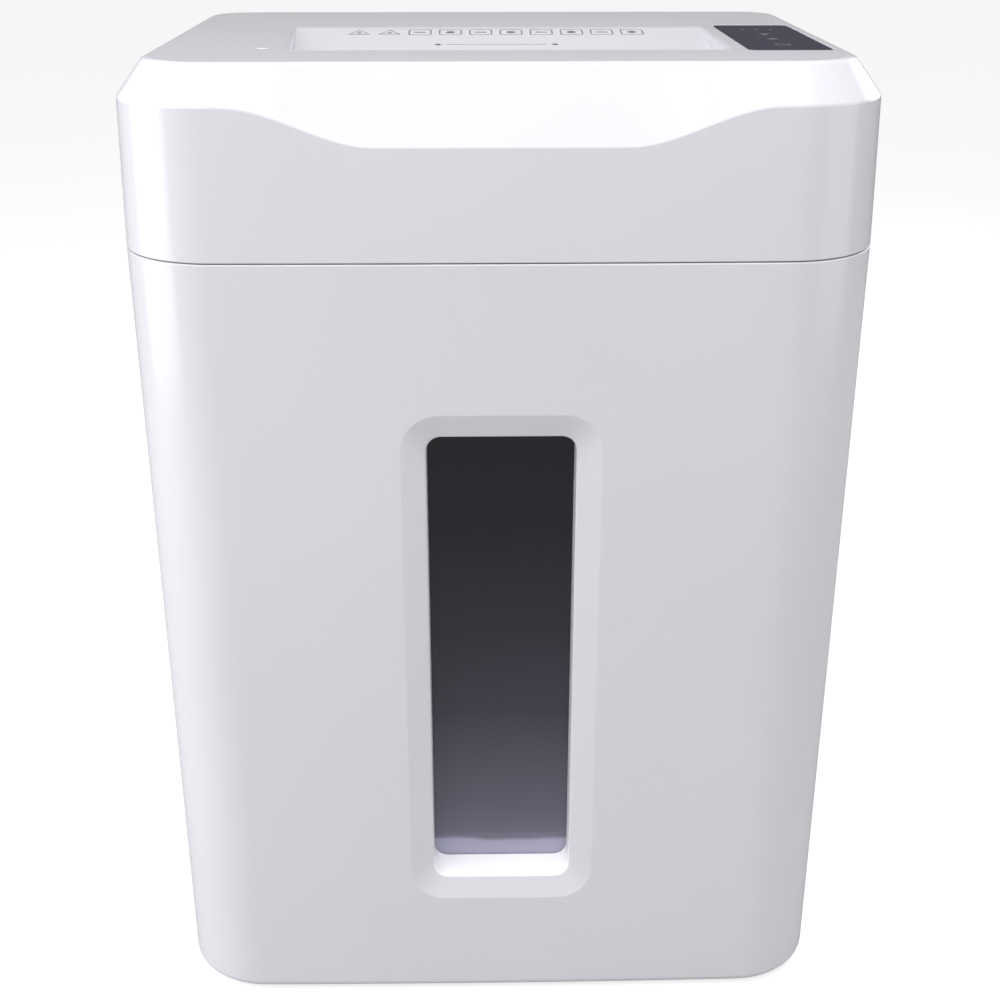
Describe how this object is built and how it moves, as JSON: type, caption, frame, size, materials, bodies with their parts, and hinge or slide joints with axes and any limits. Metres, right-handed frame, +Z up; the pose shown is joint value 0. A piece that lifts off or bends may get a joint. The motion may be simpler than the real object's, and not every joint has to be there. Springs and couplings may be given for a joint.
{
  "type": "paper shredder",
  "caption": "Desk-side paper shredder: glossy white bin with a tall smoked window, and a lift-off cutting head with a sloped feed slot and a dark touch panel.",
  "frame": {"origin": "on the floor under the middle of the case", "axes": "+Z up, the front with its window faces -Y, +X to the right of a person facing the front"},
  "size_m": [0.383, 0.305, 0.538],
  "materials": {
    "case_white": "glossy moulded",
    "smoked_clear": "smoked, polished",
    "panel_black": "polished",
    "plastic_black": "fine texture",
    "plastic_grey": "fine texture",
    "lamp_white": "diffusing",
    "plate_steel": "zinc plated",
    "cutter_steel": "hardened, oiled",
    "gear_plastic": "natural nylon",
    "gear_steel": "sintered",
    "bronze": "sintered bronze",
    "screw_steel": "zinc plated",
    "motor_black": "satin paint",
    "rubber_black": "matte",
    "board_green": "solder mask",
    "winding_tape": "wound tape"
  },
  "bodies": {
    "bin": {"waste_bin": "case_white", "window_pane": "smoked_clear", "pane_retainer": "plastic_black", "pane_screw_1": "screw_steel", "pane_screw_2": "screw_steel", "pane_screw_3": "screw_steel", "pane_screw_4": "screw_steel", "foot_1": "rubber_black", "foot_2": "rubber_black", "foot_3": "rubber_black", "foot_4": "rubber_black"},
    "head": {"top_cover": "case_white", "touch_panel": "panel_black", "feed_guide_front": "plastic_black", "feed_guide_rear": "plastic_black", "paper_sensor_emitter": "plastic_black", "paper_sensor_receiver": "plastic_black", "stripper_comb_front": "plastic_black", "stripper_comb_rear": "plastic_black", "gear_guard": "plastic_black", "board_relay": "plastic_black", "board_capacitor": "plastic_black", "power_inlet": "plastic_black", "power_switch_frame": "plastic_black", "safety_switch": "plastic_black", "lower_tray": "plastic_grey", "status_lamp": "lamp_white", "side_plate_left": "plate_steel", "side_plate_right": "plate_steel", "tie_rod_1": "plate_steel", "tie_rod_2": "plate_steel", "tie_rod_3": "plate_steel", "tie_rod_4": "plate_steel", "gear_axle": "gear_steel", "bush_front_left": "bronze", "bush_front_right": "bronze", "bush_rear_left": "bronze", "bush_rear_right": "bronze", "case_screw_1": "screw_steel", "case_screw_2": "screw_steel", "case_screw_3": "screw_steel", "case_screw_4": "screw_steel", "motor_screw_1": "screw_steel", "motor_screw_2": "screw_steel", "motor_can": "motor_black", "main_board": "board_green", "panel_board": "board_green", "board_transformer": "winding_tape"},
    "cutter_rear": {"cutter_shaft_rear": "cutter_steel", "timing_gear_rear": "gear_steel", "final_gear": "gear_steel"},
    "cutter_front": {"cutter_shaft_front": "cutter_steel", "timing_gear_front": "gear_steel"},
    "idler": {"compound_gear": "gear_plastic"},
    "motor_armature": {"motor_rotor": "gear_steel", "motor_fan": "gear_plastic", "motor_pinion": "gear_steel"},
    "rocker": {"power_rocker": "panel_black"},
    "lever": {"safety_lever": "screw_steel"}
  },
  "joints": [
    {"name": "head_lift", "type": "slide", "parent": "bin", "child": "head", "axis": [0, 0, 1], "range_m": [0, 0.12]},
    {"name": "cutter_rear_spin", "type": "hinge", "parent": "head", "child": "cutter_rear", "pos_m": [0, -0.052, 0.456], "axis": [1, 0, 0], "continuous": true},
    {"name": "cutter_front_spin", "type": "hinge", "parent": "head", "child": "cutter_front", "pos_m": [0, -0.088, 0.456], "axis": [1, 0, 0], "continuous": true},
    {"name": "idler_spin", "type": "hinge", "parent": "head", "child": "idler", "pos_m": [0, -0.01037, 0.47558], "axis": [1, 0, 0], "continuous": true},
    {"name": "motor_spin", "type": "hinge", "parent": "head", "child": "motor_armature", "pos_m": [0, 0.03, 0.464], "axis": [1, 0, 0], "continuous": true},
    {"name": "rocker_press", "type": "hinge", "parent": "head", "child": "rocker", "pos_m": [-0.07196, 0.14675, 0.482], "axis": [1, 0, 0], "range_deg": [-14, 0]},
    {"name": "lever_drop", "type": "hinge", "parent": "head", "child": "lever", "pos_m": [0.12614, 0.138, 0.4585], "axis": [0, 1, 0], "range_deg": [0, 8.5]}
  ],
  "couplings": [
    {"joint": "cutter_front_spin", "follows": "cutter_rear_spin", "ratio": -1},
    {"joint": "idler_spin", "follows": "cutter_rear_spin", "ratio": -2.8333},
    {"joint": "motor_spin", "follows": "cutter_rear_spin", "ratio": 14.167},
    {"joint": "lever_drop", "follows": "head_lift", "rad_per_m": 1.18}
  ]
}
